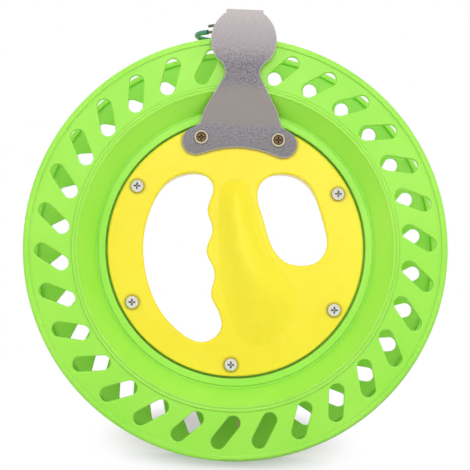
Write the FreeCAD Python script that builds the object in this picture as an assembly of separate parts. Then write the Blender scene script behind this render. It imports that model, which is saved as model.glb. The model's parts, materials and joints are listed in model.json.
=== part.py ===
import FreeCAD, Part
import math
import os
from FreeCAD import Vector

# Kite line winder: a slotted spool that turns on seven small ball bearings round a hand grip.
# All sizes are in millimetres.
# The wheel's axis lies along Y, the side with the guard plate faces -Y, and +Z is up.
# The origin is the wheel's centre, in the middle of the grip bar.
# "Depth" below is the distance from the wheel's middle plane, towards the front or towards the rear.

# Spool: two like halves that meet on the middle plane, each a hub with a flange round it
rim_radius = 100.0
rear_rim_radius = 102.5
spool_width = 50.0
flange_wall = 2.4
rim_bead_width = 2.8
rim_bead_rise = 0.8
rim_bead_length = 5.0
rim_bead_rounding = 1.2
drum_radius = 74.8
drum_wall = 2.4
shoulder_bead_width = 2.8
shoulder_bead_rise = 0.6
shoulder_bead_rounding = 0.3
shoulder_groove_width = 0.9
shoulder_groove_depth = 0.45
cone_outer_radius = 74.3
cone_inner_radius = 66.4
cone_wall = 2.5
groove_width = 0.9
groove_depth = 0.8
band_step = 0.5
track_wall = 2.4
ledge_wall = 2.4
corner_rounding = 0.6

# Slots in both flanges
slot_count = 30
slot_phase = 5.3
slot_inner_radius = 78.8
slot_outer_radius = 94.7
slot_width = 7.0
slot_slant = 4.2
slot_lip = 0.5
pad_slots = (7, 8, 22, 23)

# Screws that hold the two spool halves together
spool_screw_count = 6
spool_screw_pitch_radius = 67.3
spool_screw_phase = 15.0
spool_boss_radius = 4.0
spool_screw_radius = 1.45
spool_screw_head_radius = 2.6
spool_screw_head_height = 1.9
spool_screw_length = 19.0
spool_screw_seat_depth = 9.5

# Crank knob on the rear flange
knob_pitch_radius = 87.0
knob_pad_slot = 22.5
knob_pad_radius = 8.5
knob_pad_rise = 2.4
knob_length = 30.0
knob_base_radius = 8.0
knob_waist_radius = 7.2
knob_head_radius = 11.5
knob_head_length = 13.0
knob_bolt_radius = 3.0
knob_thread_radius = 2.0
knob_bolt_head_radius = 5.0
knob_bolt_head_height = 3.0
knob_insert_radius = 3.4
knob_washer_radius = 6.5
knob_washer_wall = 0.8
knob_cap_wall = 1.6

# Grip: two like mouldings clamped on the bearings
disc_radius = 61.0
disc_wall = 3.0
disc_rounding = 1.0
disc_rim_gap = 0.9
disc_side_gap = 0.3
grip_half_width = 17.5
hub_wall_radius = 51.0
hub_wall = 1.8
opening_wall = 1.8
opening_flare = 3.0
wall_outline_points = 44
opening_lip = 1.1
swell_wall = 2.6
swell_dip = 0.15

# Outline of the finger opening, as (x, z): up the outer side, then down the four finger rests
finger_outline = (
    (-5.4, -35.6), (-7.9, -42.4), (-14.5, -45.2), (-24.5, -41.1), (-35.3, -29.9), (-42.0, -14.0),
    (-43.9, 2.0), (-40.6, 18.4), (-33.2, 30.6), (-22.8, 35.0), (-14.6, 33.3), (-11.3, 27.6),
    (-14.5, 18.4), (-11.2, 8.1), (-14.0, -1.2), (-9.4, -12.7), (-10.9, -21.7),
)

# Outline of the thumb opening, as (x, z); both outlines run clockwise, seen from the front
thumb_outline = (
    (9.6, 25.6), (12.6, 33.2), (22.5, 36.3), (32.6, 32.5), (38.8, 22.0), (42.2, 11.4), (43.4, 2.2),
    (39.4, -4.8), (31.5, -7.1), (24.2, -5.7), (18.3, 0.0), (14.3, 9.6), (11.8, 17.2),
)

# The grip bar's swollen face, as (z, left x, right x, rise above the disc)
swell_sections = (
    (33.0, -8.0, 6.0, -0.3),
    (26.0, -9.4, 7.4, 3.0),
    (12.0, -9.4, 11.4, 5.4),
    (-4.0, -8.8, 18.6, 6.2),
    (-20.0, -7.2, 31.0, 5.4),
    (-35.0, -2.6, 28.5, 2.6),
    (-47.0, 3.0, 22.0, -0.3),
)

# Through screws of the grip, each of which carries one bearing
screw_pitch_radius = 55.4
plain_screw_angles = (30.0, 150.0, 210.0, 270.0, 330.0)
guard_screw_half_angle = 19.4
screw_radius = 1.45
screw_head_radius = 3.1
screw_head_height = 2.1
guard_screw_head_radius = 3.3
guard_screw_head_height = 1.3
guard_screw_dish_radius = 2.5
guard_screw_dish_depth = 0.5
recess_length = 3.2
recess_width = 0.75
recess_depth = 1.1
nut_flats = 5.5
nut_height = 2.4
nut_pocket_depth = 2.6
nut_pocket_gap = 0.15
screw_end = 0.4

# Bearings
bearing_radius = 4.0
bearing_bore_radius = 1.5
bearing_width = 4.0
bearing_inner_wall = 0.85
bearing_outer_wall = 0.7
bearing_shield_wall = 0.2
bearing_shield_gap = 0.15
bearing_ball_count = 7
bearing_ball_gap = 0.04
track_gap = 0.1
post_radius = 3.3
post_step = 0.5
spigot_radius = 2.3

# Guard plate, bent from one piece of sheet
guard_sheet = 1.5
guard_bend_radius = 1.5
guard_clearance = 2.7
guard_lobe_x = 20.9
guard_lobe_z = 50.4
guard_lobe_radius = 6.5
guard_arch_top = 48.2
guard_arch_x = 14.5
guard_arch_z = 45.7
guard_low_bend_z = 58.2
guard_high_bend_z = 76.8
guard_shoulder_x = 19.5
guard_flank_x = 17.3
guard_flank_z = 65.4
guard_slant_top_x = 9.8
guard_neck_x = 8.2
guard_neck_z = 82.6
guard_head_radius = 15.5
guard_head_z = 98.0
guard_head_low_angle = -38.0
guard_tab_half_width = 8.8
guard_top_z = 113.0
guard_tab_overhang = 7.5
guard_tab_rounding = 4.0

# Line guide: a wire ring with an open, overlapping end, in a plastic sleeve
guide_ring_x = -13.3
guide_ring_z = 105.3
guide_ring_radius = 9.8
guide_wire_radius = 0.7
guide_sleeve_radius = 1.2
guide_lift = 3.6
guide_overlap = 50.0
guide_sleeve_start = 52.0
guide_sleeve_turn = 185.0
guide_eye_x = 3.5
guide_eye_turn = 290.0
guide_screw_radius = 1.45
guide_screw_head_radius = 2.9
guide_screw_head_height = 2.0
guide_washer_radius = 3.6
guide_washer_wall = 0.5
guide_spacer_radius = 3.0
guide_nut_height = 2.4

# Fits
thread_gap = 0.05
hole_gap = 0.15
running_gap = 0.08
sleeve_gap = 0.05
end_gap = 0.3
cut_over = 1.0

# Sizes that follow from the ones above
half_width = spool_width / 2
track_radius = screw_pitch_radius + bearing_radius + track_gap
ledge_depth = grip_half_width - disc_wall - disc_side_gap
counterbore_radius = disc_radius + disc_rim_gap
band_depth = grip_half_width - band_step
band_outer_radius = cone_inner_radius - groove_width
hollow_inner_radius = track_radius + track_wall
hollow_outer_radius = drum_radius - drum_wall
post_depth = bearing_width / 2 + post_step
disc_inside_depth = grip_half_width - disc_wall
guard_depth = half_width + guard_clearance
knob_angle = slot_phase + knob_pad_slot * 360.0 / slot_count
knob_pad_depth = half_width + knob_pad_rise
knob_start_depth = knob_pad_depth + knob_washer_wall + end_gap
knob_end_depth = knob_start_depth + knob_length
knob_seat_depth = knob_end_depth - knob_cap_wall - end_gap - knob_bolt_head_height - end_gap
guard_screw_angles = (90.0 - guard_screw_half_angle, 90.0 + guard_screw_half_angle)
all_screw_angles = plain_screw_angles + guard_screw_angles

FRONT = 1
REAR = -1
AXIS = Vector(0, 1, 0)
UP = Vector(0, 0, 1)
tiny = 1e-6


def spot(radius, angle, depth, side):
    """A point at a radius and an angle round the wheel, at a depth on one side."""
    turn = math.radians(angle)
    return Vector(radius * math.cos(turn), -side * depth, radius * math.sin(turn))


def outwards(side):
    """The direction that leads out of the wheel on one side."""
    return Vector(0, -side, 0)


def placed(shape, position, direction):
    """The shape, with its own Z turned to the direction and its origin moved to the position."""
    result = shape.copy()
    result.Placement = FreeCAD.Placement(position, FreeCAD.Rotation(UP, direction))
    return result


def rounded_wire(corners, place):
    """A closed wire through corners (a, b, corner radius), laid in space by place(a, b)."""
    marks = []
    for i in range(len(corners)):
        a, b, radius = corners[i]
        here = Vector(a, b, 0)
        back = (Vector(corners[i - 1][0], corners[i - 1][1], 0) - here).normalize()
        following = corners[(i + 1) % len(corners)]
        ahead = (Vector(following[0], following[1], 0) - here).normalize()
        if radius == 0:
            marks.append((here,))
            continue
        half = back.getAngle(ahead) / 2
        centre = here + (back + ahead).normalize() * (radius / math.sin(half))
        start = here + back * (radius / math.tan(half))
        end = here + ahead * (radius / math.tan(half))
        middle = centre + (here - centre).normalize() * radius
        marks.append((start, middle, end))
    edges = []
    for i in range(len(marks)):
        if len(marks[i]) == 3:
            edges.append(Part.Arc(*[place(p.x, p.y) for p in marks[i]]).toShape())
        start = marks[i][-1]
        end = marks[(i + 1) % len(marks)][0]
        if start.distanceToPoint(end) > tiny:
            edges.append(Part.LineSegment(place(start.x, start.y), place(end.x, end.y)).toShape())
    return Part.Wire(edges)


def ring(corners, side):
    """A body turned about the wheel's axis from corners (radius, depth, corner radius)."""
    wire = rounded_wire(corners, lambda radius, depth: Vector(radius, -side * depth, 0))
    return Part.Face(wire).revolve(Vector(0, 0, 0), AXIS, 360)


def turned(corners):
    """A body turned about its own Z from corners (radius, height, corner radius)."""
    wire = rounded_wire(corners, lambda radius, height: Vector(radius, 0, height))
    return Part.Face(wire).revolve(Vector(0, 0, 0), UP, 360)


def rod(radius, position, direction, length):
    return Part.makeCylinder(radius, length, position, direction)


def write(name, solids):
    """Write one node: a single solid, or a group of separate solids."""
    shape = solids[0] if len(solids) == 1 else Part.makeCompound(solids)
    shape.exportStep("parts/" + name + ".step")


def hub_section():
    """The hub's wall as (radius, depth, corner radius), from the track out to the drum and round."""
    face = half_width
    back = half_width - flange_wall
    shoulder = half_width + shoulder_bead_rise
    shoulder_out = cone_outer_radius + shoulder_bead_width
    shoulder_middle = cone_outer_radius + shoulder_bead_width / 2
    slope = (face - band_depth + groove_depth) / (cone_outer_radius - cone_inner_radius)
    drop = cone_wall * math.hypot(1, slope)
    band_back = band_depth - cone_wall
    cone_back_radius = cone_inner_radius + (band_back - (band_depth - groove_depth) + drop) / slope
    cone_back_depth = band_back + (hollow_outer_radius - cone_back_radius) * slope
    return (
        (track_radius, 0, 0),
        (track_radius, ledge_depth, 0.3),
        (counterbore_radius, ledge_depth, 0),
        (counterbore_radius, band_depth, corner_rounding),
        (band_outer_radius, band_depth, corner_rounding / 2),
        (band_outer_radius, band_depth - groove_depth, 0),
        (cone_inner_radius, band_depth - groove_depth, 0),
        (cone_outer_radius, face, 0),
        (cone_outer_radius, shoulder, shoulder_bead_rounding),
        (shoulder_middle - shoulder_groove_width / 2, shoulder, 0),
        (shoulder_middle, shoulder - shoulder_groove_depth, 0),
        (shoulder_middle + shoulder_groove_width / 2, shoulder, 0),
        (shoulder_out, shoulder, shoulder_bead_rounding),
        (shoulder_out, back, 0),
        (drum_radius, back, corner_rounding),
        (drum_radius, 0, 0),
        (hollow_outer_radius, 0, 0),
        (hollow_outer_radius, cone_back_depth, 0),
        (cone_back_radius, band_back, 0),
        (counterbore_radius + track_wall, band_back, 0),
        (counterbore_radius + track_wall, ledge_depth - ledge_wall, 0),
        (hollow_inner_radius, ledge_depth - ledge_wall, 0),
        (hollow_inner_radius, 0, 0),
    )


def flange_section(rim_reach):
    """A flange's wall as (radius, depth, corner radius), from the shoulder out to the rim's bead."""
    inner = cone_outer_radius + shoulder_bead_width
    face = half_width
    back = half_width - flange_wall
    rim = half_width + rim_bead_rise
    bead = rim_reach - rim_bead_width
    return (
        (inner, back, 0),
        (inner, face, 0),
        (bead, face, 0),
        (bead, rim, rim_bead_rise / 2),
        (rim_reach, rim, rim_bead_rounding),
        (rim_reach, rim - rim_bead_length, rim_bead_rounding),
        (bead, rim - rim_bead_length, corner_rounding),
        (bead, back, 0),
    )


def hollow_filling(side):
    """The space between drum wall and track wall, which the screw bosses fill in part."""
    inside_corner_count = 7
    return ring(hub_section()[-inside_corner_count:], side)


def slot_cutter(angle, side):
    """One slanted slot with round ends, cut through a flange."""
    half = slot_width / 2
    lean = slot_slant / 2 * side
    inner = spot(slot_inner_radius + half, angle + lean, 0, side)
    outer = spot(slot_outer_radius - half, angle - lean, 0, side)
    along = (outer - inner).normalize()
    across = along.cross(AXIS)
    corners = (inner + across * half, outer + across * half, outer - across * half, inner - across * half)
    outer_tip = outer + along * half
    inner_tip = inner - along * half
    edges = (
        Part.LineSegment(corners[0], corners[1]).toShape(),
        Part.Arc(corners[1], outer_tip, corners[2]).toShape(),
        Part.LineSegment(corners[2], corners[3]).toShape(),
        Part.Arc(corners[3], inner_tip, corners[0]).toShape(),
    )
    face = Part.Face(Part.Wire(edges))
    start = half_width - flange_wall - cut_over
    face.translate(outwards(side) * start)
    return face.extrude(outwards(side) * (flange_wall + 2 * cut_over))


def slot_edges(shape, side):
    """The slots' edges on the flange's outer face."""
    found = []
    for edge in shape.Edges:
        box = edge.BoundBox
        level = -side * half_width
        middle = edge.CenterOfMass
        reach = math.hypot(middle.x, middle.z)
        flat = abs(box.YMin - level) < tiny * 10 and abs(box.YMax - level) < tiny * 10
        short = edge.Length < slot_outer_radius - slot_inner_radius
        if flat and short and slot_inner_radius - 1 < reach < slot_outer_radius + 1:
            found.append(edge)
    return found


def spool_screw_spots():
    step = 360.0 / spool_screw_count
    return [spool_screw_phase + i * step for i in range(spool_screw_count)]


def spool_hub(side):
    """One hub, with a boss for each spool screw in its hollow."""
    filling = hollow_filling(side)
    bosses = []
    for angle in spool_screw_spots():
        foot = spot(spool_screw_pitch_radius, angle, 0, side)
        bosses.append(rod(spool_boss_radius, foot, outwards(side), half_width).common(filling))
    shape = ring(hub_section(), side).fuse(bosses).removeSplitter()
    return shape.cut(front_hub_holes() if side == FRONT else rear_hub_holes()).Solids[0]


def front_hub_holes():
    """Blind screw holes in the front hub's bosses."""
    depth = spool_screw_length - spool_screw_seat_depth + 0.5
    radius = spool_screw_radius + thread_gap
    holes = []
    for angle in spool_screw_spots():
        holes.append(rod(radius, spot(spool_screw_pitch_radius, angle, 0, FRONT), outwards(FRONT), depth))
    return holes


def rear_hub_holes():
    """Through holes in the rear hub's bosses, with wider seats for the screw heads."""
    holes = []
    for angle in spool_screw_spots():
        foot = spot(spool_screw_pitch_radius, angle, 0, REAR)
        seat = spot(spool_screw_pitch_radius, angle, spool_screw_seat_depth, REAR)
        holes.append(rod(spool_screw_radius + hole_gap, foot, outwards(REAR), half_width))
        holes.append(rod(spool_screw_head_radius + hole_gap, seat, outwards(REAR), half_width))
    return holes


def spool_flange(side):
    """One flange with its slots; the rear one is a little larger and lacks those near the pads."""
    shape = ring(flange_section(rim_radius if side == FRONT else rear_rim_radius), side)
    missing = pad_slots if side == REAR else ()
    angles = [slot_phase + i * 360.0 / slot_count for i in range(slot_count) if i not in missing]
    shape = shape.cut([slot_cutter(angle, side) for angle in angles])
    shape = shape.Solids[0].makeFillet(slot_lip, slot_edges(shape, side))
    return shape if side == FRONT else with_knob_pad(shape)


def with_knob_pad(shape):
    """The rear flange with the raised pad that carries the crank knob, bored for its insert."""
    pad_start = spot(knob_pitch_radius, knob_angle, half_width - flange_wall / 2, REAR)
    pad = rod(knob_pad_radius, pad_start, outwards(REAR), flange_wall / 2 + knob_pad_rise)
    rim = [edge for edge in pad.Edges if abs(edge.CenterOfMass.y - knob_pad_depth) < tiny * 10]
    bore_start = spot(knob_pitch_radius, knob_angle, half_width - flange_wall - cut_over, REAR)
    bore = rod(knob_insert_radius, bore_start, outwards(REAR), flange_wall + knob_pad_rise + 2 * cut_over)
    return shape.fuse(pad.makeFillet(corner_rounding, rim)).cut(bore)


def cross_recess(length, width, depth, top):
    """A cross cut into a screw head, whose outer face lies at height top."""
    first = Part.makeBox(length, width, depth + cut_over, Vector(-length / 2, -width / 2, top - depth))
    second = Part.makeBox(width, length, depth + cut_over, Vector(-width / 2, -length / 2, top - depth))
    middle = Part.makeCone(width / 2, width, depth, Vector(0, 0, top - depth), UP)
    return first.fuse([second, middle])


def pan_screw(head_radius, head_height, shank_radius, length, spin):
    """A pan-head screw: the head's seat at height 0, the shank below it."""
    head = turned((
        (0, 0, 0),
        (head_radius, 0, 0),
        (head_radius, head_height * 0.75, head_height * 0.45),
        (head_radius * 0.45, head_height, 0),
        (0, head_height, 0),
    ))
    shank = turned((
        (0, 0.2, 0),
        (shank_radius, 0.2, 0),
        (shank_radius, -length + 0.4, 0),
        (shank_radius - 0.4, -length, 0),
        (0, -length, 0),
    ))
    reach = recess_length * head_radius / screw_head_radius
    cut = cross_recess(reach, recess_width, recess_depth, head_height)
    screw = head.fuse(shank).removeSplitter().cut(cut)
    screw.rotate(Vector(0, 0, 0), UP, spin)
    return screw.Solids[0]


def dished_screw(spin, length):
    """A guard plate screw, whose head has a raised ring round a dished face."""
    top = guard_screw_head_height
    floor = top - guard_screw_dish_depth
    head = turned((
        (0, 0, 0),
        (guard_screw_head_radius, 0, 0),
        (guard_screw_head_radius, top, 0.35),
        (guard_screw_dish_radius, top, 0),
        (guard_screw_dish_radius - 0.3, floor, 0),
        (0, floor, 0),
    ))
    shank = turned((
        (0, 0.2, 0),
        (screw_radius, 0.2, 0),
        (screw_radius, -length + 0.4, 0),
        (screw_radius - 0.4, -length, 0),
        (0, -length, 0),
    ))
    cut = cross_recess(recess_length, recess_width, recess_depth - guard_screw_dish_depth, floor)
    screw = head.fuse(shank).removeSplitter().cut(cut)
    screw.rotate(Vector(0, 0, 0), UP, spin)
    return screw.Solids[0]


def hexagon(flats, height, bottom):
    """A hexagonal prism, its lower face at the height bottom."""
    reach = flats / math.sqrt(3)
    corners = [Vector(reach * math.cos(math.radians(60 * i)), reach * math.sin(math.radians(60 * i)), bottom)
               for i in range(6)]
    wire = Part.makePolygon(corners + [corners[0]])
    return Part.Face(wire).extrude(UP * height)


def hex_nut(height, bore_radius):
    """A hexagonal nut on its own Z, with its corners turned down at both faces."""
    corner = nut_flats / math.sqrt(3)
    barrel = turned((
        (0, 0, 0),
        (corner - 0.3, 0, 0),
        (corner, 0.2, 0),
        (corner, height - 0.2, 0),
        (corner - 0.3, height, 0),
        (0, height, 0),
    ))
    bore = rod(bore_radius, Vector(0, 0, -cut_over), UP, height + 2 * cut_over)
    return hexagon(nut_flats, height, 0).common(barrel).cut(bore).Solids[0]


def closed_curve(points, depth, side):
    """A smooth closed wire through points (x, z), at a depth on one side."""
    curve = Part.BSplineCurve()
    curve.interpolate(Points=[Vector(x, -side * depth, z) for x, z in points], PeriodicFlag=True)
    return Part.Wire([curve.toShape()])


def swell_body(side, base_depth, drop, margin):
    """The grip bar's swollen body, lowered by drop and drawn in by margin for its inside."""
    wires = []
    for z, left, right, rise in swell_sections:
        middle = (left + right) / 2
        half = (right - left) / 2 - margin
        points = []
        for i in range(9):
            across = -1 + i / 4
            height = (rise + swell_dip) * math.cos(across * math.pi / 2) ** 2 - swell_dip
            points.append(Vector(middle + half * across, -side * (grip_half_width + height - drop), z))
        curve = Part.BSplineCurve()
        curve.interpolate(Points=points)
        left_foot = Vector(points[0].x, -side * base_depth, z)
        right_foot = Vector(points[-1].x, -side * base_depth, z)
        edges = (
            curve.toShape(),
            Part.LineSegment(points[-1], right_foot).toShape(),
            Part.LineSegment(right_foot, left_foot).toShape(),
            Part.LineSegment(left_foot, points[0]).toShape(),
        )
        wires.append(Part.Wire(edges))
    return Part.makeLoft(wires, True, False)


def wider_outline(points, distance):
    """Points (x, z) at a distance outside the closed curve through the given points."""
    curve = Part.BSplineCurve()
    curve.interpolate(Points=[Vector(x, z, 0) for x, z in points], PeriodicFlag=True)
    first = curve.FirstParameter
    step = (curve.LastParameter - first) / wall_outline_points
    outside = []
    for i in range(wall_outline_points):
        here = curve.value(first + i * step)
        heading = curve.tangent(first + i * step)[0]
        outside.append((here.x - heading.y * distance, here.y + heading.x * distance))
    return outside


def opening_body(points, side, start, end, margin):
    """A body through an opening between two depths, which grows wider from the front to the rear."""
    wires = []
    for depth in (start, end):
        behind_front = grip_half_width - side * depth
        flare = opening_flare * behind_front / (2 * grip_half_width)
        wires.append(closed_curve(wider_outline(points, flare + margin), depth, side))
    return Part.makeLoft(wires, True, True)


def opening_cutter(points, side):
    return opening_body(points, side, -cut_over, grip_half_width + 8 + cut_over, 0)


def opening_tube(points, side):
    """The wall round an opening, from the middle plane to the disc, still without its hole."""
    return opening_body(points, side, 0, disc_inside_depth + disc_wall / 2, opening_wall)


def lip_edges(shape, side):
    """The two openings' edges on the disc's face."""
    found = []
    for edge in shape.Edges:
        box = edge.BoundBox
        level = -side * grip_half_width
        flat = abs(box.YMin - level) < 1e-4 and abs(box.YMax - level) < 1e-4
        if flat and edge.Length > 100 and abs(edge.Length - 2 * math.pi * disc_radius) > 15:
            found.append(edge)
    return found


def grip_half(side):
    plate = ring((
        (0, disc_inside_depth, 0),
        (disc_radius, disc_inside_depth, 0),
        (disc_radius, grip_half_width, disc_rounding),
        (0, grip_half_width, 0),
    ), side)
    hub = ring((
        (hub_wall_radius - hub_wall, 0, 0),
        (hub_wall_radius, 0, 0),
        (hub_wall_radius, disc_inside_depth + disc_wall / 2, 0),
        (hub_wall_radius - hub_wall, disc_inside_depth + disc_wall / 2, 0),
    ), side)
    openings = (finger_outline, thumb_outline)
    tubes = [opening_tube(points, side) for points in openings]
    posts = []
    for angle in all_screw_angles:
        length = disc_inside_depth + disc_wall / 2 - post_depth
        foot = spot(screw_pitch_radius, angle, post_depth, side)
        posts.append(rod(post_radius, foot, outwards(side), length))
        start = spot(screw_pitch_radius, angle, bearing_width / 2, side)
        posts.append(rod(spigot_radius, start, outwards(side), post_step + disc_wall / 2))
    shell = plate.cut([opening_cutter(points, side) for points in openings])
    shell = shell.Solids[0].makeFillet(opening_lip, lip_edges(shell, side))
    narrowing = 0 if side == FRONT else opening_flare
    cavity = swell_body(side, disc_inside_depth - cut_over, swell_wall, narrowing + swell_wall / 2)
    walls = tubes[0].fuse(tubes[1:] + [hub] + posts)
    walls = walls.cut([opening_cutter(points, side) for points in openings])
    swell = swell_body(side, grip_half_width - disc_wall / 2, 0, narrowing)
    shell = shell.fuse(swell).cut(cavity)
    shape = shell.fuse(walls)
    return shape.cut(grip_holes(side)).Solids[0]


def grip_holes(side):
    """Screw holes through one grip half, and the nut pockets of the rear one."""
    cuts = []
    for angle in all_screw_angles:
        start = spot(screw_pitch_radius, angle, 0, side)
        cuts.append(rod(screw_radius + hole_gap, start, outwards(side), grip_half_width + cut_over))
        if side == REAR:
            floor = spot(screw_pitch_radius, angle, grip_half_width - nut_pocket_depth, side)
            pocket = hexagon(nut_flats + 2 * nut_pocket_gap, nut_pocket_depth + cut_over, 0)
            cuts.append(placed(pocket, floor, outwards(side)))
    return cuts


def grip_screws():
    length = 2 * grip_half_width - screw_end
    made = []
    for i, angle in enumerate(plain_screw_angles):
        screw = pan_screw(screw_head_radius, screw_head_height, screw_radius, length, 25 * i + 10)
        made.append(placed(screw, spot(screw_pitch_radius, angle, grip_half_width, FRONT), outwards(FRONT)))
    return made


def guard_screws():
    length = 2 * grip_half_width + guard_sheet - screw_end
    made = []
    for i, angle in enumerate(guard_screw_angles):
        seat = spot(screw_pitch_radius, angle, grip_half_width + guard_sheet, FRONT)
        made.append(placed(dished_screw(35 * i + 15, length), seat, outwards(FRONT)))
    return made


def grip_nuts():
    made = []
    for angle in all_screw_angles:
        floor = spot(screw_pitch_radius, angle, grip_half_width - nut_pocket_depth, REAR)
        made.append(placed(hex_nut(nut_height, screw_radius + thread_gap), floor, outwards(REAR)))
    return made


def spool_screws():
    made = []
    for i, angle in enumerate(spool_screw_spots()):
        screw = pan_screw(spool_screw_head_radius, spool_screw_head_height, spool_screw_radius,
                          spool_screw_length, 40 * i)
        seat = spot(spool_screw_pitch_radius, angle, spool_screw_seat_depth, REAR)
        made.append(placed(screw, seat, outwards(REAR)))
    return made


def bearing_outer_ring(angle):
    inner = bearing_radius - bearing_outer_wall
    half = bearing_width / 2
    shape = turned((
        (inner, -half, 0),
        (bearing_radius, -half, 0.25),
        (bearing_radius, half, 0.25),
        (inner, half, 0),
    ))
    return placed(shape, spot(screw_pitch_radius, angle, 0, FRONT), outwards(FRONT))


def bearing_shields(angle):
    inner = bearing_bore_radius + bearing_inner_wall + bearing_shield_gap
    outer = bearing_radius - bearing_outer_wall
    made = []
    for side in (FRONT, REAR):
        start = spot(screw_pitch_radius, angle, bearing_width / 2 - bearing_shield_wall - 0.1, side)
        disc = rod(outer, start, outwards(side), bearing_shield_wall)
        made.append(disc.cut(rod(inner, start, outwards(side), bearing_shield_wall)).Solids[0])
    return made


def bearing_inner_rings():
    outer = bearing_bore_radius + bearing_inner_wall
    made = []
    for angle in all_screw_angles:
        start = spot(screw_pitch_radius, angle, bearing_width / 2, FRONT)
        sleeve = rod(outer, start, outwards(REAR), bearing_width)
        made.append(sleeve.cut(rod(bearing_bore_radius, start, outwards(REAR), bearing_width)).Solids[0])
    return made


def bearing_balls():
    inner = bearing_bore_radius + bearing_inner_wall
    outer = bearing_radius - bearing_outer_wall
    pitch = (inner + outer) / 2
    radius = (outer - inner) / 2 - bearing_ball_gap
    made = []
    for angle in all_screw_angles:
        centre = spot(screw_pitch_radius, angle, 0, FRONT)
        for i in range(bearing_ball_count):
            turn = i * 360.0 / bearing_ball_count
            made.append(Part.makeSphere(radius, centre + spot(pitch, turn, 0, FRONT)))
    return made


def bent_strip(corners, wall, inside_radius):
    """A strip's section: wall either side of a bent line of corners (depth, z), as one closed wire."""
    line = [Vector(depth, z, 0) for depth, z in corners]
    left = []
    right = []
    for i in range(len(line)):
        before = (line[i] - line[i - 1]).normalize() if i > 0 else None
        after = (line[i + 1] - line[i]).normalize() if i + 1 < len(line) else None
        heading = before if after is None else after
        turning = 0
        shift = Vector(-heading.y, heading.x, 0) * (wall / 2)
        if before is not None and after is not None:
            turning = before.cross(after).z
            bend = before.getAngle(after)
            normal = Vector(-before.y - after.y, before.x + after.x, 0).normalize()
            shift = normal * (wall / 2 / math.cos(bend / 2))
        left_radius = 0 if turning == 0 else inside_radius + (0 if turning > 0 else wall)
        right_radius = 0 if turning == 0 else inside_radius + (wall if turning > 0 else 0)
        left.append((line[i].x + shift.x, line[i].y + shift.y, left_radius))
        right.append((line[i].x - shift.x, line[i].y - shift.y, right_radius))
    return left + right[::-1]


def guard_outline():
    """The guard plate seen from the front, as one closed wire ahead of the wheel."""
    def at(x, z):
        return Vector(x, 0, z)

    def round_at(x, z, radius, angle):
        return at(x + radius * math.cos(math.radians(angle)), z + radius * math.sin(math.radians(angle)))

    top = guard_top_z + cut_over
    tab_angle = math.degrees(math.acos(guard_tab_half_width / guard_head_radius))
    edges = []
    for hand in (1, -1):
        lobe = [round_at(guard_lobe_x, guard_lobe_z, guard_lobe_radius, angle) for angle in (250, 335, 62)]
        head = [round_at(0, guard_head_z, guard_head_radius, angle)
                for angle in (guard_head_low_angle, 0, tab_angle)]
        shoulder = at(guard_shoulder_x, guard_low_bend_z + 0.6)
        flank = at(guard_flank_x, guard_flank_z)
        slant_top = at(guard_slant_top_x, guard_high_bend_z + 1.2)
        neck = at(guard_neck_x, guard_neck_z)
        steps = (
            (at(0, guard_arch_top), at(guard_arch_x / 2, (3 * guard_arch_top + guard_arch_z) / 4),
             at(guard_arch_x, guard_arch_z)),
            (at(guard_arch_x, guard_arch_z), lobe[0]),
            lobe,
            (lobe[2], shoulder),
            (shoulder, flank),
            (flank, slant_top),
            (slant_top, neck, head[0]),
            head,
            (head[2], at(guard_tab_half_width, top)),
            (at(guard_tab_half_width, top), at(0, top)),
        )
        for step in steps:
            points = [Vector(hand * p.x, 0, p.z) for p in step]
            edges.append((Part.Arc(*points) if len(points) == 3 else Part.LineSegment(*points)).toShape())
    return Part.Wire(Part.__sortEdges__(edges))


def guard_plate():
    low = grip_half_width + guard_sheet / 2
    high = guard_depth + guard_sheet / 2
    top = guard_top_z - guard_sheet / 2
    strip = bent_strip((
        (low, guard_lobe_z - guard_lobe_radius - cut_over),
        (low, guard_low_bend_z),
        (high, guard_high_bend_z),
        (high, top),
        (-guard_tab_overhang, top),
    ), guard_sheet, guard_bend_radius)
    reach = guard_lobe_x + guard_lobe_radius + cut_over
    section = Part.Face(rounded_wire(strip, lambda depth, z: Vector(-reach, -depth, z)))
    sheet = section.extrude(Vector(2 * reach, 0, 0))
    front = Part.Face(guard_outline())
    front.translate(Vector(0, -guard_depth - 4 * guard_sheet, 0))
    shape = sheet.common(front.extrude(Vector(0, guard_depth + guard_tab_overhang + 8 * guard_sheet, 0)))
    corners = []
    for edge in shape.Edges:
        middle = edge.CenterOfMass
        upright = abs(edge.tangentAt(edge.FirstParameter).z) > 0.99
        if upright and middle.y > guard_tab_overhang - tiny * 10 and edge.Length < 2 * guard_sheet:
            corners.append(edge)
    shape = shape.Solids[0].makeFillet(guard_tab_rounding, corners)
    cuts = []
    for angle in guard_screw_angles:
        start = spot(screw_pitch_radius, angle, grip_half_width - cut_over, FRONT)
        cuts.append(rod(screw_radius + hole_gap, start, outwards(FRONT), guard_sheet + 2 * cut_over))
    foot = Vector(guide_eye_x, 0, guard_top_z - guard_sheet - cut_over)
    cuts.append(rod(guide_screw_radius + hole_gap, foot, UP, guard_sheet + 2 * cut_over))
    return shape.cut(cuts).Solids[0]


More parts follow.
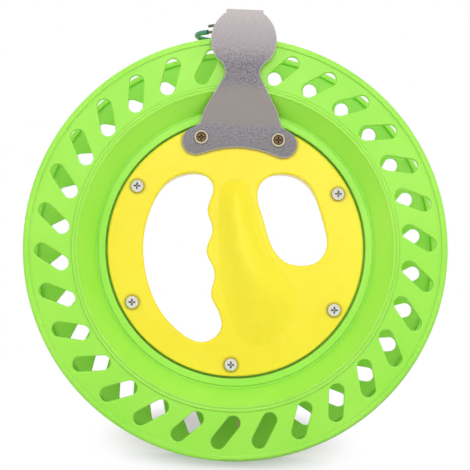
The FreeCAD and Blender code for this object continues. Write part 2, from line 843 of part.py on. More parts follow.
class GuidePath:
    """Where the guide's wire runs: the eye round the screw, a straight, and an overlapping ring."""

    ring_centre = Vector(guide_ring_x, 0, guide_ring_z)
    eye_centre = Vector(guide_eye_x, 0, guide_ring_z)
    eye_radius = guide_screw_radius + hole_gap + guide_wire_radius
    lean = math.asin((guide_ring_radius - eye_radius) / (guide_eye_x - guide_ring_x))
    start_angle = math.degrees(lean) - 90
    tilt = math.degrees(math.asin(guide_lift / (2 * guide_ring_radius)))

    @classmethod
    def on_circle(cls, centre, radius, angle):
        turn = math.radians(angle)
        return centre + Vector(radius * math.cos(turn), radius * math.sin(turn), 0)

    @classmethod
    def bend(cls, centre, radius, angle, turn, thickness, tilt):
        """A round bar bent clockwise from an angle on a circle; tilt lifts it about its start."""
        begin = cls.on_circle(centre, radius, angle)
        heading = (begin - centre).normalize().cross(UP)
        disc = Part.Face(Part.Wire([Part.Circle(begin, heading, thickness).toShape()]))
        solid = disc.revolve(centre, UP, -turn)
        if tilt:
            solid.rotate(begin, heading, -tilt)
        return solid

    @classmethod
    def lower_bend(cls, first, turn, thickness):
        """Part of the ring's first half turn, from first degrees after its start."""
        return cls.bend(cls.ring_centre, guide_ring_radius, cls.start_angle - first, turn, thickness, 0)

    @classmethod
    def upper_bend(cls, turn, thickness):
        """The ring's second stretch, which rises clear of the first."""
        return cls.bend(cls.ring_centre, guide_ring_radius, cls.start_angle - 180, turn, thickness, cls.tilt)


def guide_wire():
    path = GuidePath
    eye = path.bend(path.eye_centre, path.eye_radius, path.start_angle + guide_eye_turn, guide_eye_turn,
                    guide_wire_radius, 0)
    near = path.on_circle(path.eye_centre, path.eye_radius, path.start_angle)
    far = path.on_circle(path.ring_centre, guide_ring_radius, path.start_angle)
    straight = rod(guide_wire_radius, near, far - near, (far - near).Length)
    lower = path.lower_bend(0, 180, guide_wire_radius)
    upper = path.upper_bend(180 + guide_overlap, guide_wire_radius)
    return eye.fuse([straight, lower, upper]).removeSplitter()


def guide_sleeve():
    path = GuidePath
    lower_turn = 180 - guide_sleeve_start
    upper_turn = guide_sleeve_turn - lower_turn
    bore = guide_wire_radius + sleeve_gap
    outside = path.lower_bend(guide_sleeve_start, lower_turn, guide_sleeve_radius)
    outside = outside.fuse(path.upper_bend(upper_turn, guide_sleeve_radius))
    inside = path.lower_bend(guide_sleeve_start - 2, lower_turn + 2, bore)
    inside = inside.fuse(path.upper_bend(upper_turn + 2, bore))
    return outside.cut(inside).removeSplitter()


def washer(radius, bore_radius, wall, foot):
    disc = rod(radius, foot, UP, wall)
    return disc.cut(rod(bore_radius, foot, UP, wall)).Solids[0]


def guide_fasteners():
    """Screw, spacer, washers and nut that hang the line guide from the guard plate's tab."""
    bore = guide_screw_radius + hole_gap
    underside = guard_top_z - guard_sheet
    over_wire = guide_ring_z + guide_wire_radius
    under_wire = guide_ring_z - guide_wire_radius
    nut_foot = under_wire - guide_washer_wall - guide_nut_height
    length = guard_top_z - nut_foot + 0.5
    screw = pan_screw(guide_screw_head_radius, guide_screw_head_height, guide_screw_radius, length, 20)
    write("guide_screw", [placed(screw, Vector(guide_eye_x, 0, guard_top_z), UP)])
    upper_foot = Vector(guide_eye_x, 0, over_wire)
    lower_foot = Vector(guide_eye_x, 0, under_wire - guide_washer_wall)
    washers = []
    for foot in (upper_foot, lower_foot):
        washers.append(washer(guide_washer_radius, bore, guide_washer_wall, foot))
    write("guide_washers", washers)
    spacer_foot = Vector(guide_eye_x, 0, over_wire + guide_washer_wall)
    write("guide_spacer", [washer(guide_spacer_radius, bore, underside - spacer_foot.z, spacer_foot)])
    nut = hex_nut(guide_nut_height, guide_screw_radius + thread_gap)
    write("guide_nut", [placed(nut, Vector(guide_eye_x, 0, nut_foot), UP)])


def knob_spot(depth):
    return spot(knob_pitch_radius, knob_angle, depth, REAR)


def crank_knob():
    """The knob's plastic body, hollow at the outer end for the bolt's head and the cap."""
    bore = knob_bolt_radius + running_gap
    pocket = knob_bolt_head_radius + end_gap
    seat = knob_seat_depth - knob_start_depth
    neck = knob_length - knob_head_length
    shape = turned((
        (bore, 0, 0),
        (knob_base_radius, 0, 0.8),
        (knob_waist_radius, neck * 0.55, 12.0),
        (knob_head_radius, neck + 2.0, 5.0),
        (knob_head_radius, knob_length, 3.2),
        (pocket, knob_length, 0.3),
        (pocket, seat, 0),
        (bore, seat, 0),
    ))
    return placed(shape, knob_spot(knob_start_depth), outwards(REAR))


def knob_bolt():
    """A shoulder bolt: thread in the insert, plain shoulder in the knob, head in the knob's end."""
    shoulder = knob_pad_depth + knob_washer_wall
    head_seat = knob_seat_depth + end_gap
    thread_length = shoulder - (half_width - flange_wall)
    thread = rod(knob_thread_radius, knob_spot(half_width - flange_wall), outwards(REAR), thread_length)
    body = rod(knob_bolt_radius, knob_spot(shoulder), outwards(REAR), head_seat - shoulder)
    head = rod(knob_bolt_head_radius, knob_spot(head_seat), outwards(REAR), knob_bolt_head_height)
    key = placed(hexagon(4.0, 2.0, 0), knob_spot(head_seat + knob_bolt_head_height - 1.8), outwards(REAR))
    return thread.fuse([body, head]).removeSplitter().cut(key)


def knob_cap():
    outer = knob_bolt_head_radius + end_gap
    shape = turned((
        (0, 0, 0),
        (outer, 0, 0),
        (outer, knob_cap_wall, 0.5),
        (0, knob_cap_wall, 0),
    ))
    return placed(shape, knob_spot(knob_end_depth - knob_cap_wall), outwards(REAR))


def knob_fasteners():
    foot = knob_spot(half_width - flange_wall)
    length = flange_wall + knob_pad_rise
    insert = rod(knob_insert_radius, foot, outwards(REAR), length)
    insert = insert.cut(rod(knob_thread_radius + thread_gap, foot, outwards(REAR), length))
    write("knob_insert", [insert])
    seat = knob_spot(knob_pad_depth)
    plain = rod(knob_washer_radius, seat, outwards(REAR), knob_washer_wall)
    bore = rod(knob_thread_radius + thread_gap, seat, outwards(REAR), knob_washer_wall)
    write("knob_washer", [plain.cut(bore)])


def main():
    os.makedirs("parts", exist_ok=True)
    write("spool_front_hub", [spool_hub(FRONT)])
    write("spool_front_flange", [spool_flange(FRONT).Solids[0]])
    write("spool_rear_hub", [spool_hub(REAR)])
    write("spool_rear_flange", [spool_flange(REAR).Solids[0]])
    write("spool_screws", spool_screws())
    write("grip_front_half", [grip_half(FRONT)])
    write("grip_rear_half", [grip_half(REAR)])
    write("grip_screws", grip_screws())
    write("grip_nuts", grip_nuts())
    write("guard_screws", guard_screws())
    write("guard_plate", [guard_plate()])
    write("bearing_inner_rings", bearing_inner_rings())
    write("bearing_balls", bearing_balls())
    for i, angle in enumerate(all_screw_angles):
        write("bearing_ring_%d" % (i + 1), [bearing_outer_ring(angle)])
        write("bearing_shields_%d" % (i + 1), bearing_shields(angle))
    write("guide_wire", [guide_wire()])
    write("guide_sleeve", [guide_sleeve()])
    guide_fasteners()
    write("crank_knob", [crank_knob()])
    write("knob_cap", [knob_cap()])
    write("knob_bolt", [knob_bolt()])
    knob_fasteners()


main()
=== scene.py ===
# %% [markdown]
# # A kite line winder, finished in Blender
# The real object is a hand reel for kite line. A light green wheel turns on a yellow disc
# that the hand holds, and a bent aluminium plate guards the line at the top. The CAD model
# gives every solid its place and size. This lesson dresses those solids: it loads them as a
# fixed frame, sets the camera, mixes the finishes, and lights the wheel on a pale floor.

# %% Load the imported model
import json
import math

import bmesh
import bpy
from mathutils import Matrix, Vector

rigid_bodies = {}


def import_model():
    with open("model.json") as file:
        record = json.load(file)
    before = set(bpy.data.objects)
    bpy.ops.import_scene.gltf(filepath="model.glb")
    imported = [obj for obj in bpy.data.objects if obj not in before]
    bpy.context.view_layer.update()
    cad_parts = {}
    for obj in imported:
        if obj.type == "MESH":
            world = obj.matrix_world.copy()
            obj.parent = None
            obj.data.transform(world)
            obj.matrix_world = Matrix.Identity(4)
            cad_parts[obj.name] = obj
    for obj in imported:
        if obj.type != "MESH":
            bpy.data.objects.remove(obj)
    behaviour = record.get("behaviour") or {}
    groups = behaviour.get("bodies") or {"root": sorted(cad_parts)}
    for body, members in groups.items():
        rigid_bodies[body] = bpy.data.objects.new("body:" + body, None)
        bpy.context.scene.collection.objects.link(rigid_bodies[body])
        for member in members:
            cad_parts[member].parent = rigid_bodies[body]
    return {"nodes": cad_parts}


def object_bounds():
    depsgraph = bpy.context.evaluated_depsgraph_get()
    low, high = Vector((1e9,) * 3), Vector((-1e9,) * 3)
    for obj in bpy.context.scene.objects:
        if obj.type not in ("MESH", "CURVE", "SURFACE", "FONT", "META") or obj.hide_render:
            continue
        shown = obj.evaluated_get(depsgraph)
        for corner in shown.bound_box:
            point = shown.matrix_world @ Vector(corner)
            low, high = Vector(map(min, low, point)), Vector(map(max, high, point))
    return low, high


for leftover in list(bpy.data.objects):
    bpy.data.objects.remove(leftover)
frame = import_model()
cad_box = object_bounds()
nodes = frame["nodes"]
cad_size = [round(1000 * v) for v in cad_box[1] - cad_box[0]]
print("CAD nodes:", len(nodes), "- size in mm:", cad_size)

# %% [markdown]
# ## The camera
# The photograph is taken from just below the wheel's centre, almost square to the front, from
# a little over half a metre. A camera can be placed by eye, but the rings of the wheel, the
# screws and the slots are known circles, so the place and the small turns were worked out from
# them. The lens is long, so the wheel shows little perspective.

# %% Set the camera
PHOTO_SIDE = 470
FOCAL_IN_PIXELS = 1251.0
CAMERA_PLACE = Vector((-0.0042, -0.6127, -0.0298))
CAMERA_YAW = math.radians(-0.36)
CAMERA_PITCH = math.radians(3.46)
CAMERA_ROLL = math.radians(-2.28)
SENSOR_WIDTH = 36.0


def turn(angle, axis):
    """A turn about one axis, as a 4 x 4 matrix."""
    return Matrix.Rotation(angle, 4, axis)


camera_data = bpy.data.cameras.new("camera")
camera_data.sensor_width = SENSOR_WIDTH
camera_data.lens = FOCAL_IN_PIXELS / PHOTO_SIDE * SENSOR_WIDTH
camera_data.clip_start = 0.01
camera = bpy.data.objects.new("camera", camera_data)
bpy.context.scene.collection.objects.link(camera)
forward = turn(math.pi / 2, "X")
aim = turn(CAMERA_YAW, "Z") @ turn(CAMERA_PITCH, "X") @ turn(CAMERA_ROLL, "Y") @ forward
camera.matrix_world = Matrix.Translation(CAMERA_PLACE) @ aim
bpy.context.scene.camera = camera
bpy.context.scene.view_settings.view_transform = "Standard"
print("lens in mm:", round(camera_data.lens, 1))

# %% [markdown]
# ## Tools for the finishes
# A finish is a small network of shader nodes. Writing each link by hand is long, so three
# short helpers make a node, join two sockets, and open a new node group. A group is an
# effect that several finishes share, with its own named inputs and outputs.


# %% Helpers for shader nodes
def add(tree, kind, **values):
    """Adds a node. Values set properties, or inputs by their name."""
    node = tree.nodes.new(kind)
    for name, value in values.items():
        if hasattr(node, name):
            setattr(node, name, value)
        else:
            node.inputs[name.replace("_", " ")].default_value = value
    return node


def join(tree, source, target):
    """Links an output socket to an input socket."""
    tree.links.new(source, target)


def new_group(name, inputs, outputs):
    """Opens a shader node group, and returns its tree, its input node and its output node."""
    tree = bpy.data.node_groups.new(name, "ShaderNodeTree")
    for label, kind, start in inputs:
        socket = tree.interface.new_socket(label, in_out="INPUT", socket_type=kind)
        socket.default_value = start
    for label, kind in outputs:
        tree.interface.new_socket(label, in_out="OUTPUT", socket_type=kind)
    return tree, tree.nodes.new("NodeGroupInput"), tree.nodes.new("NodeGroupOutput")


# %% [markdown]
# ## The edge highlight
# On a moulding the lips are polished by the mould, and here they are made paler as a painted
# highlight where they catch the light. On sheet metal the tumbling drum rubs the edges bright,
# so there the paler edge is partly that wear and partly a painted highlight. The Bevel node
# gives a normal that is rounded near an edge. Where it differs from the true normal there is an
# edge, so the difference is a mask.

# %% The edge highlight group
FLOAT, COLOUR, VECTOR = "NodeSocketFloat", "NodeSocketColor", "NodeSocketVector"
tree, start, end = new_group(
    "rounded_edges_and_highlight",
    [("Radius", FLOAT, 0.0004), ("Strength", FLOAT, 4.0)],
    [("Mask", FLOAT), ("Normal", VECTOR)],
)
bevel = add(tree, "ShaderNodeBevel", samples=6)
geometry = add(tree, "ShaderNodeNewGeometry")
likeness = add(tree, "ShaderNodeVectorMath", operation="DOT_PRODUCT")
difference = add(tree, "ShaderNodeMath", operation="SUBTRACT")
difference.inputs[0].default_value = 1.0
mask = add(tree, "ShaderNodeMath", operation="MULTIPLY", use_clamp=True)
join(tree, start.outputs["Radius"], bevel.inputs["Radius"])
join(tree, bevel.outputs["Normal"], likeness.inputs[0])
join(tree, geometry.outputs["Normal"], likeness.inputs[1])
join(tree, likeness.outputs["Value"], difference.inputs[1])
join(tree, difference.outputs["Value"], mask.inputs[0])
join(tree, start.outputs["Strength"], mask.inputs[1])
join(tree, mask.outputs["Value"], end.inputs["Mask"])
join(tree, bevel.outputs["Normal"], end.inputs["Normal"])
edge_highlight_group = tree
print("made group", tree.name)

# %% [markdown]
# ## The painted crevice shade
# Narrow gaps, screw recesses and the walls of the slots are painted darker than the open faces,
# as painted shade, because little light reaches them. The Ambient Occlusion node measures how
# much of the surroundings is covered within a short distance, and that becomes a mask.

# %% The painted shade group
tree, start, end = new_group(
    "painted_crevice_shade",
    [("Distance", FLOAT, 0.002), ("Strength", FLOAT, 1.0)],
    [("Mask", FLOAT)],
)
cover = add(tree, "ShaderNodeAmbientOcclusion", samples=6)
covered = add(tree, "ShaderNodeMath", operation="SUBTRACT")
covered.inputs[0].default_value = 1.0
mask = add(tree, "ShaderNodeMath", operation="MULTIPLY", use_clamp=True)
join(tree, start.outputs["Distance"], cover.inputs["Distance"])
join(tree, cover.outputs["AO"], covered.inputs[1])
join(tree, covered.outputs["Value"], mask.inputs[0])
join(tree, start.outputs["Strength"], mask.inputs[1])
join(tree, mask.outputs["Value"], end.inputs["Mask"])
painted_shade_group = tree
print("made group", tree.name)

# %% [markdown]
# ## The moulding effect
# Moulded plastic is never one flat colour. The pigment drifts a little, the surface has a fine
# grain from the mould, and a slow waviness bends its reflections. Two noises give the drift and
# the waves, and a third the grain. All read Object coordinates, so they stay on the piece.

# %% The moulding group
DRIFT_SCALE, WAVE_SCALE, GRAIN_SCALE = 22.0, 70.0, 2600.0
DRIFT_LOW, DRIFT_HIGH = 0.3, 0.7
WAVE_IN_ROUGHNESS = 0.12
GRAIN_IN_HEIGHT = 0.08
tree, start, end = new_group(
    "moulded_plastic",
    [
        ("Deep Colour", COLOUR, (0.2, 0.6, 0.05, 1)),
        ("Pale Colour", COLOUR, (0.4, 0.8, 0.1, 1)),
        ("Gloss", FLOAT, 0.28),
    ],
    [("Color", COLOUR), ("Roughness", FLOAT), ("Height", FLOAT)],
)
place = add(tree, "ShaderNodeTexCoord")
drift = add(tree, "ShaderNodeTexNoise", Scale=DRIFT_SCALE, Detail=3.0, Roughness=0.5)
waves = add(tree, "ShaderNodeTexNoise", Scale=WAVE_SCALE, Detail=1.0, Roughness=0.4)
grain = add(tree, "ShaderNodeTexNoise", Scale=GRAIN_SCALE, Detail=2.0, Roughness=0.6)
for noise in (drift, waves, grain):
    join(tree, place.outputs["Object"], noise.inputs["Vector"])
spread = add(tree, "ShaderNodeMapRange", clamp=True)
spread.inputs["From Min"].default_value = DRIFT_LOW
spread.inputs["From Max"].default_value = DRIFT_HIGH
join(tree, drift.outputs["Fac"], spread.inputs["Value"])
blend = add(tree, "ShaderNodeMix", data_type="RGBA")
join(tree, spread.outputs["Result"], blend.inputs["Factor"])
join(tree, start.outputs["Deep Colour"], blend.inputs["A"])
join(tree, start.outputs["Pale Colour"], blend.inputs["B"])
join(tree, blend.outputs["Result"], end.inputs["Color"])
rough = add(tree, "ShaderNodeMath", operation="MULTIPLY_ADD")
rough.inputs[1].default_value = WAVE_IN_ROUGHNESS
join(tree, waves.outputs["Fac"], rough.inputs[0])
join(tree, start.outputs["Gloss"], rough.inputs[2])
join(tree, rough.outputs["Value"], end.inputs["Roughness"])
relief = add(tree, "ShaderNodeMath", operation="MULTIPLY_ADD")
relief.inputs[1].default_value = GRAIN_IN_HEIGHT
join(tree, grain.outputs["Fac"], relief.inputs[0])
join(tree, waves.outputs["Fac"], relief.inputs[2])
join(tree, relief.outputs["Value"], end.inputs["Height"])
moulding_group = tree
print("made group", tree.name)

# %% [markdown]
# ## The metal effect
# The plate and the fixings were tumbled or plated, so their surface is a fine speckle of light
# and dark. One noise gives all of it: it mixes the two colours, makes the light spots a little
# rougher, and lifts them in the relief.

# %% The metal group
SPECKLE_LOW, SPECKLE_HIGH = 0.35, 0.65
SPECKLE_IN_ROUGHNESS = 0.14
tree, start, end = new_group(
    "speckled_metal",
    [
        ("Dark Colour", COLOUR, (0.3, 0.3, 0.3, 1)),
        ("Light Colour", COLOUR, (0.6, 0.6, 0.6, 1)),
        ("Speckle Size", FLOAT, 1500.0),
        ("Gloss", FLOAT, 0.3),
    ],
    [("Color", COLOUR), ("Roughness", FLOAT), ("Height", FLOAT)],
)
place = add(tree, "ShaderNodeTexCoord")
speckle = add(tree, "ShaderNodeTexNoise", Detail=4.0, Roughness=0.7)
join(tree, place.outputs["Object"], speckle.inputs["Vector"])
join(tree, start.outputs["Speckle Size"], speckle.inputs["Scale"])
spread = add(tree, "ShaderNodeMapRange", clamp=True)
spread.inputs["From Min"].default_value = SPECKLE_LOW
spread.inputs["From Max"].default_value = SPECKLE_HIGH
join(tree, speckle.outputs["Fac"], spread.inputs["Value"])
blend = add(tree, "ShaderNodeMix", data_type="RGBA")
join(tree, spread.outputs["Result"], blend.inputs["Factor"])
join(tree, start.outputs["Dark Colour"], blend.inputs["A"])
join(tree, start.outputs["Light Colour"], blend.inputs["B"])
join(tree, blend.outputs["Result"], end.inputs["Color"])
rough = add(tree, "ShaderNodeMath", operation="MULTIPLY_ADD")
rough.inputs[1].default_value = SPECKLE_IN_ROUGHNESS
join(tree, spread.outputs["Result"], rough.inputs[0])
join(tree, start.outputs["Gloss"], rough.inputs[2])
join(tree, rough.outputs["Value"], end.inputs["Roughness"])
join(tree, speckle.outputs["Fac"], end.inputs["Height"])
metal_group = tree
print("made group", tree.name)


# %% [markdown]
# ## The finishes
# Each finish is one Principled shader. The shared groups give it a colour, a roughness and a
# relief that change over the surface, paint a highlight on its edges and paint shade into its
# crevices. A finish may add a tint of its own. What is the same all over a piece is set on the
# shader's own sockets.


# %% A finish from the groups
def group_node(tree, group, **values):
    """Places a group, with its inputs set by name."""
    node = tree.nodes.new("ShaderNodeGroup")
    node.node_tree = group
    for name, value in values.items():
        node.inputs[name.replace("_", " ")].default_value = value
    return node


def mixed_colour(tree, mask, under, over):
    """Lays a colour over another by a mask. Each is a socket or a plain value."""
    blend = add(tree, "ShaderNodeMix", data_type="RGBA")
    join(tree, mask, blend.inputs["Factor"])
    for name, colour in (("A", under), ("B", over)):
        if isinstance(colour, tuple):
            blend.inputs[name].default_value = colour
        else:
            join(tree, colour, blend.inputs[name])
    return blend.outputs["Result"]


def finish(name, effect, edge_wear_and_highlight, crevice, relief, metallic=0.0, tint=None, **values):
    """A material: the edge tuple is (colour, share, radius) of a painted highlight on edges,
    partly wear on metal; the crevice tuple is (colour, reach, strength) of painted shade.
    """
    material = bpy.data.materials.new(name)
    material.use_nodes = True
    tree = material.node_tree
    shader = tree.nodes["Principled BSDF"]
    shader.inputs["Metallic"].default_value = metallic
    surface = group_node(tree, effect, **values)
    colour = surface.outputs["Color"]
    if tint:
        colour = tint(tree, colour)
    edges = group_node(tree, edge_highlight_group, Radius=edge_wear_and_highlight[2])
    edge_wear_and_highlight_share = add(tree, "ShaderNodeMath", operation="MULTIPLY")
    edge_wear_and_highlight_share.inputs[1].default_value = edge_wear_and_highlight[1]
    join(tree, edges.outputs["Mask"], edge_wear_and_highlight_share.inputs[0])
    colour = mixed_colour(tree, edge_wear_and_highlight_share.outputs["Value"], colour, edge_wear_and_highlight[0])
    painted_shade_node = group_node(tree, painted_shade_group, Distance=crevice[1], Strength=crevice[2])
    colour = mixed_colour(tree, painted_shade_node.outputs["Mask"], colour, crevice[0])
    join(tree, colour, shader.inputs["Base Color"])
    join(tree, surface.outputs["Roughness"], shader.inputs["Roughness"])
    bump = add(tree, "ShaderNodeBump", Strength=1.0, Distance=relief)
    join(tree, surface.outputs["Height"], bump.inputs["Height"])
    join(tree, edges.outputs["Normal"], bump.inputs["Normal"])
    join(tree, bump.outputs["Normal"], shader.inputs["Normal"])
    return material


# %% [markdown]
# ## The plastics
# The wheel, the grip and the guide's sleeve share the moulding effect. The green and the yellow
# are strong, clear pigments with a satin gloss. Lips get a painted highlight, paler than the
# faces, and gaps get a painted shade, a deeper tone of the same plastic, because light that
# enters a gap comes back coloured.

# %% The plastics
finishes = {}
finishes["green_plastic"] = finish(
    "green_plastic",
    moulding_group,
    # The pale edge colour is a painted highlight, and the crevice colour a painted shade.
    edge_wear_and_highlight=((0.60, 0.97, 0.20, 1), 0.9, 0.0008),
    crevice=((0.08, 0.42, 0.01, 1), 0.002, 0.3),
    relief=0.00004,
    Deep_Colour=(0.32, 0.83, 0.055, 1),
    Pale_Colour=(0.40, 0.88, 0.085, 1),
    Gloss=0.26,
)
finishes["yellow_plastic"] = finish(
    "yellow_plastic",
    moulding_group,
    # The pale edge colour is a painted highlight, and the crevice colour a painted shade.
    edge_wear_and_highlight=((0.97, 0.88, 0.10, 1), 0.4, 0.0004),
    crevice=((0.36, 0.24, 0.02, 1), 0.0016, 2.0),
    relief=0.00003,
    Deep_Colour=(0.96, 0.80, 0.015, 1),
    Pale_Colour=(0.98, 0.86, 0.03, 1),
    Gloss=0.22,
)
finishes["green_sleeve"] = finish(
    "green_sleeve",
    moulding_group,
    # The pale edge colour is a painted highlight, and the crevice colour a painted shade.
    edge_wear_and_highlight=((0.3, 0.6, 0.4, 1), 0.3, 0.0002),
    crevice=((0.01, 0.06, 0.02, 1), 0.001, 0.8),
    relief=0.00001,
    Deep_Colour=(0.03, 0.20, 0.10, 1),
    Pale_Colour=(0.08, 0.34, 0.20, 1),
    Gloss=0.12,
)
print("plastics:", sorted(finishes))

# %% [markdown]
# ## The guard plate
# The plate is cut from sheet, tumbled, and then bent. A colour ramp along the plate's height
# gives the tones: the foot and the neck are darker and more speckled, the slanted part is paler,
# and the head grows paler towards its top. A second ramp says how much speckle shows. The cut
# edges are paler, partly polished by the tumbling and partly a painted highlight.
# Where the normal points sideways or up the surface is a cut edge. The tab on top is bent back,
# so its wide face points up too, and the mask stops below it.

# %% The plate's tones
PLATE_FOOT, PLATE_TOP = 0.044, 0.113
PLATE_TONES = (
    (0.044, (0.265, 0.256, 0.255, 1)),
    (0.057, (0.305, 0.295, 0.315, 1)),
    (0.060, (0.350, 0.318, 0.306, 1)),
    (0.074, (0.350, 0.315, 0.302, 1)),
    (0.078, (0.285, 0.272, 0.285, 1)),
    (0.086, (0.280, 0.264, 0.285, 1)),
    (0.094, (0.440, 0.405, 0.415, 1)),
    (0.103, (0.520, 0.478, 0.488, 1)),
    (0.112, (0.620, 0.568, 0.555, 1)),
)
PLATE_SPECKLE = (
    (0.044, 0.7),
    (0.057, 0.7),
    (0.060, 0.2),
    (0.074, 0.2),
    (0.078, 1.0),
    (0.088, 1.0),
    (0.097, 0.25),
)
CUT_EDGE_POLISH_AND_HIGHLIGHT = (0.85, 0.84, 0.80, 1)
CUT_EDGE_TILT = (0.5, 0.2)
TAB_HEIGHT = 0.111


def ramp_along(tree, position, stops):
    """A colour ramp whose stops are given by height on the plate."""
    ramp = tree.nodes.new("ShaderNodeValToRGB")
    points = ramp.color_ramp.elements
    while len(points) < len(stops):
        points.new(0.5)
    for point, (height, colour) in zip(points, stops):
        point.position = (height - PLATE_FOOT) / (PLATE_TOP - PLATE_FOOT)
        point.color = colour
    join(tree, position, ramp.inputs["Fac"])
    return ramp.outputs["Color"]


def plate_tint(tree, speckle):
    """The tones and the speckle by height, and paler edges of the sheet, partly polish and
    partly painted highlight.
    """
    place = add(tree, "ShaderNodeTexCoord")
    spot = add(tree, "ShaderNodeSeparateXYZ")
    join(tree, place.outputs["Object"], spot.inputs["Vector"])
    along = add(tree, "ShaderNodeMapRange", clamp=True)
    along.inputs["From Min"].default_value = PLATE_FOOT
    along.inputs["From Max"].default_value = PLATE_TOP
    join(tree, spot.outputs["Z"], along.inputs["Value"])
    tones = ramp_along(tree, along.outputs["Result"], PLATE_TONES)
    greys = [(height, (share, share, share, 1)) for height, share in PLATE_SPECKLE]
    shares = ramp_along(tree, along.outputs["Result"], greys)
    spotted = add(tree, "ShaderNodeMix", data_type="RGBA", blend_type="MULTIPLY")
    join(tree, shares, spotted.inputs["Factor"])
    join(tree, tones, spotted.inputs["A"])
    join(tree, speckle, spotted.inputs["B"])
    facing = add(tree, "ShaderNodeSeparateXYZ")
    join(tree, place.outputs["Normal"], facing.inputs["Vector"])
    square = add(tree, "ShaderNodeMath", operation="ABSOLUTE")
    join(tree, facing.outputs["Y"], square.inputs[0])
    sideways = add(tree, "ShaderNodeMapRange", clamp=True)
    sideways.inputs["From Min"].default_value = CUT_EDGE_TILT[0]
    sideways.inputs["From Max"].default_value = CUT_EDGE_TILT[1]
    join(tree, square.outputs["Value"], sideways.inputs["Value"])
    under_tab = add(tree, "ShaderNodeMath", operation="LESS_THAN")
    under_tab.inputs[1].default_value = TAB_HEIGHT
    join(tree, spot.outputs["Z"], under_tab.inputs[0])
    cut_edge_highlight_mask = add(tree, "ShaderNodeMath", operation="MULTIPLY")
    join(tree, sideways.outputs["Result"], cut_edge_highlight_mask.inputs[0])
    join(tree, under_tab.outputs["Value"], cut_edge_highlight_mask.inputs[1])
    return mixed_colour(tree, cut_edge_highlight_mask.outputs["Value"], spotted.outputs["Result"], CUT_EDGE_POLISH_AND_HIGHLIGHT)


finishes["aluminium"] = finish(
    "aluminium",
    metal_group,
    # The paler edge is partly polish and partly painted highlight, and the dark crevice colour
    # is painted shade.
    edge_wear_and_highlight=((0.95, 0.94, 0.92, 1), 1.0, 0.0007),
    crevice=((0.05, 0.05, 0.05, 1), 0.001, 0.4),
    relief=0.00005,
    metallic=1.0,
    tint=plate_tint,
    Dark_Colour=(0.55, 0.55, 0.57, 1),
    Light_Colour=(1.40, 1.38, 1.38, 1),
    Speckle_Size=1100.0,
    Gloss=0.34,
)
print("plate tones:", len(PLATE_TONES))

# %% [markdown]
# ## The guard plate's screws
# These two screws are plated yellow. Within a set distance of each screw's own axis, over the
# dish inside the raised ring round the head, the tint turns brown.

# %% The screws' tint
GUARD_SCREW_PLACE = (0.0184, 0.0, 0.0523)
DISH_RADIUS = 0.0023
DISH_BLUR = (0.0002, -0.0001)
DISH_BROWN = (0.26, 0.17, 0.08, 1)


def dish_tint(tree, colour):
    """Brown within the raised ring of each screw."""
    place = add(tree, "ShaderNodeTexCoord")
    folded = add(tree, "ShaderNodeVectorMath", operation="ABSOLUTE")
    flat = add(tree, "ShaderNodeVectorMath", operation="MULTIPLY")
    flat.inputs[1].default_value = (1, 0, 1)
    away = add(tree, "ShaderNodeVectorMath", operation="DISTANCE")
    away.inputs[1].default_value = GUARD_SCREW_PLACE
    inside = add(tree, "ShaderNodeMapRange", clamp=True)
    inside.inputs["From Min"].default_value = DISH_RADIUS + DISH_BLUR[0]
    inside.inputs["From Max"].default_value = DISH_RADIUS + DISH_BLUR[1]
    join(tree, place.outputs["Object"], folded.inputs[0])
    join(tree, folded.outputs["Vector"], flat.inputs[0])
    join(tree, flat.outputs["Vector"], away.inputs[0])
    join(tree, away.outputs["Value"], inside.inputs["Value"])
    return mixed_colour(tree, inside.outputs["Result"], colour, DISH_BROWN)


# %% [markdown]
# ## The other metals
# Zinc, brass and steel share the speckle effect and differ in colour, in the speckle's size and
# in gloss. The table gives, for each, the dark and the light colour, the speckle's size, the
# gloss, and the tint where it has one. Their crevices get a nearly black painted shade, which
# shows the cross recesses of the screws, and their paler edges are partly wear and partly a
# painted highlight.

# %% The table of metals
METALS = {
    "zinc_steel": ((0.62, 0.61, 0.56, 1), (0.86, 0.85, 0.79, 1), 2500.0, 0.16, None),
    "yellow_zinc": ((0.55, 0.46, 0.32, 1), (0.80, 0.72, 0.56, 1), 2500.0, 0.18, dish_tint),
    "brass": ((0.55, 0.40, 0.15, 1), (0.75, 0.60, 0.30, 1), 2500.0, 0.20, None),
    "guide_steel": ((0.10, 0.08, 0.06, 1), (0.30, 0.27, 0.23, 1), 2500.0, 0.20, None),
    "bearing_steel": ((0.60, 0.60, 0.61, 1), (0.75, 0.75, 0.76, 1), 3000.0, 0.12, None),
}
for name, (dark, light, size, gloss, tint) in METALS.items():
    finishes[name] = finish(
        name,
        metal_group,
        # Paler edges: partly rubbed bright, partly painted highlight. Near-black crevices:
        # painted shade.
        edge_wear_and_highlight=((0.88, 0.87, 0.84, 1), 0.5, 0.0002),
        crevice=((0.012, 0.011, 0.008, 1), 0.0007, 3.5),
        relief=0.00001,
        metallic=1.0,
        tint=tint,
        Dark_Colour=dark,
        Light_Colour=light,
        Speckle_Size=size,
        Gloss=gloss,
    )
print("metals:", sorted(METALS))

# %% [markdown]
# ## Dressing the CAD nodes
# The solids already have the real shapes and smooth normals, so they all stay as they are and
# only take a better finish. Each solid names its finish in its material slot.

# %% Give each node its finish
for node in nodes.values():
    for slot in node.material_slots:
        slot.material = finishes[slot.material.name.split(".")[0]]
print("dressed", len(nodes), "nodes")

# %% [markdown]
# ## The floor
# The wheel stands on a plain pale floor. A lit white floor is not quite white in a picture, so
# camera, glossy and transmission rays see the floor's own glow. Only an oval behind the wheel
# stays plain, with a soft rim, because that is where the front lamp throws the wheel's shadow,
# and where the lower slots show it.

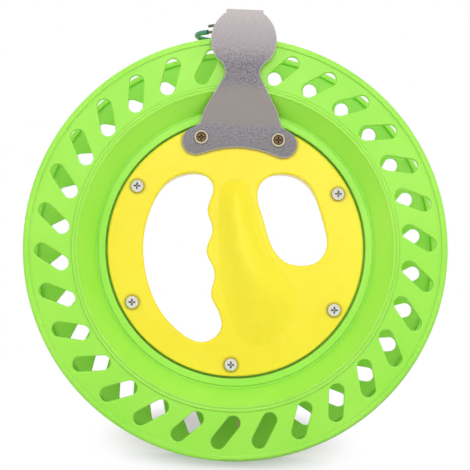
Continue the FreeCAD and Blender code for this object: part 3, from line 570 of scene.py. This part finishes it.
# %% Make the floor
FLOOR_GAP = 0.0002
FLOOR_HEIGHT = cad_box[0].z - FLOOR_GAP
FLOOR_REACH = 6.0
FLOOR_COLOUR = (0.62, 0.61, 0.61, 1)
FLOOR_ROUGHNESS, FLOOR_SHINE = 0.9, 0.1
OVAL_CENTRE = (0, 0.16, FLOOR_HEIGHT)
OVAL_HALF_WIDTH, OVAL_HALF_LENGTH = 0.08, 0.25
OVAL_PLAIN_SHARE = 0.4
floor_mesh = bpy.data.meshes.new("floor")
shape = bmesh.new()
bmesh.ops.create_grid(shape, x_segments=1, y_segments=1, size=FLOOR_REACH)
bmesh.ops.translate(shape, verts=shape.verts, vec=(0, 0, FLOOR_HEIGHT))
shape.to_mesh(floor_mesh)
shape.free()
floor = bpy.data.objects.new("floor", floor_mesh)
bpy.context.scene.collection.objects.link(floor)


# %% The floor's finish
def seen_directly(tree):
    """One for camera, glossy and transmission rays, and zero for those that carry light."""
    rays = add(tree, "ShaderNodeLightPath")
    total = rays.outputs["Is Camera Ray"]
    for kind in ("Is Glossy Ray", "Is Transmission Ray"):
        either = add(tree, "ShaderNodeMath", operation="MAXIMUM")
        join(tree, total, either.inputs[0])
        join(tree, rays.outputs[kind], either.inputs[1])
        total = either.outputs["Value"]
    return total


floor_finish = bpy.data.materials.new("pale_floor")
floor_finish.use_nodes = True
tree = floor_finish.node_tree
shader = tree.nodes["Principled BSDF"]
shader.inputs["Base Color"].default_value = FLOOR_COLOUR
shader.inputs["Roughness"].default_value = FLOOR_ROUGHNESS
shader.inputs["Specular IOR Level"].default_value = FLOOR_SHINE
glow = add(tree, "ShaderNodeEmission", Strength=1.0)
place = add(tree, "ShaderNodeTexCoord")
offset = add(tree, "ShaderNodeVectorMath", operation="SUBTRACT")
offset.inputs[1].default_value = OVAL_CENTRE
squeeze = add(tree, "ShaderNodeVectorMath", operation="DIVIDE")
squeeze.inputs[1].default_value = (OVAL_HALF_WIDTH, OVAL_HALF_LENGTH, 1)
away = add(tree, "ShaderNodeVectorMath", operation="LENGTH")
glowing = add(tree, "ShaderNodeMapRange", interpolation_type="SMOOTHSTEP")
glowing.inputs["From Min"].default_value = OVAL_PLAIN_SHARE
join(tree, place.outputs["Object"], offset.inputs[0])
join(tree, offset.outputs["Vector"], squeeze.inputs[0])
join(tree, squeeze.outputs["Vector"], away.inputs[0])
join(tree, away.outputs["Value"], glowing.inputs["Value"])
part = add(tree, "ShaderNodeMath", operation="MULTIPLY")
join(tree, glowing.outputs["Result"], part.inputs[0])
join(tree, seen_directly(tree), part.inputs[1])
mix = add(tree, "ShaderNodeMixShader")
join(tree, part.outputs["Value"], mix.inputs["Fac"])
join(tree, shader.outputs["BSDF"], mix.inputs[1])
join(tree, glow.outputs["Emission"], mix.inputs[2])
join(tree, mix.outputs["Shader"], tree.nodes["Material Output"].inputs["Surface"])
floor_mesh.materials.append(floor_finish)
print("floor at", round(FLOOR_HEIGHT, 4))

# %% [markdown]
# ## The room
# The world lights the wheel evenly from all sides, as white walls do. What the camera and shiny
# surfaces see of it is plain white, by the same rays as on the floor.

# %% Light the room
ROOM_LIGHT = 0.4
world = bpy.data.worlds.new("room")
bpy.context.scene.world = world
world.use_nodes = True
tree = world.node_tree
backdrop = tree.nodes["Background"]
backdrop.inputs["Color"].default_value = (1, 1, 1, 1)
level = add(tree, "ShaderNodeMapRange")
level.inputs["To Min"].default_value = ROOM_LIGHT
join(tree, seen_directly(tree), level.inputs["Value"])
join(tree, level.outputs["Result"], backdrop.inputs["Strength"])
print("room light", ROOM_LIGHT)

# %% [markdown]
# ## The lamps
# The photograph is a studio shot with large soft lamps. One hangs close in front and a little
# above, so the light falls off towards the foot of the wheel. A large one on each side fills
# the slots, one overhead lights the rim and the top of each ring, and one behind lights the rear
# flange and the knob. Gloss shows the white room, not the lamps, which would print square marks
# on the plate.


# %% Hang the lamps
def soft_lamp(name, place, target, size, watts):
    """A square softbox at a place, aimed at a target."""
    data = bpy.data.lights.new(name, "AREA")
    data.shape = "SQUARE"
    data.size = size
    data.energy = watts
    lamp = bpy.data.objects.new(name, data)
    bpy.context.scene.collection.objects.link(lamp)
    lamp.location = place
    lamp.rotation_mode = "QUATERNION"
    lamp.rotation_quaternion = (Vector(target) - Vector(place)).to_track_quat("-Z", "Y")
    lamp.visible_camera = False
    lamp.visible_glossy = False


centre = (0, 0, 0)
soft_lamp("front_lamp", (0.03, -0.54, 0.2), centre, 0.35, 1.35)
soft_lamp("left_lamp", (-1.1, -0.7, 0.25), centre, 0.6, 2.6)
soft_lamp("right_lamp", (1.1, -0.7, 0.25), centre, 0.6, 3.0)
soft_lamp("top_lamp", (0, 0.1, 1.2), centre, 0.8, 4.0)
soft_lamp("rear_lamp", (0, 1.1, 0.5), centre, 0.7, 4.5)
print("lamps hung")
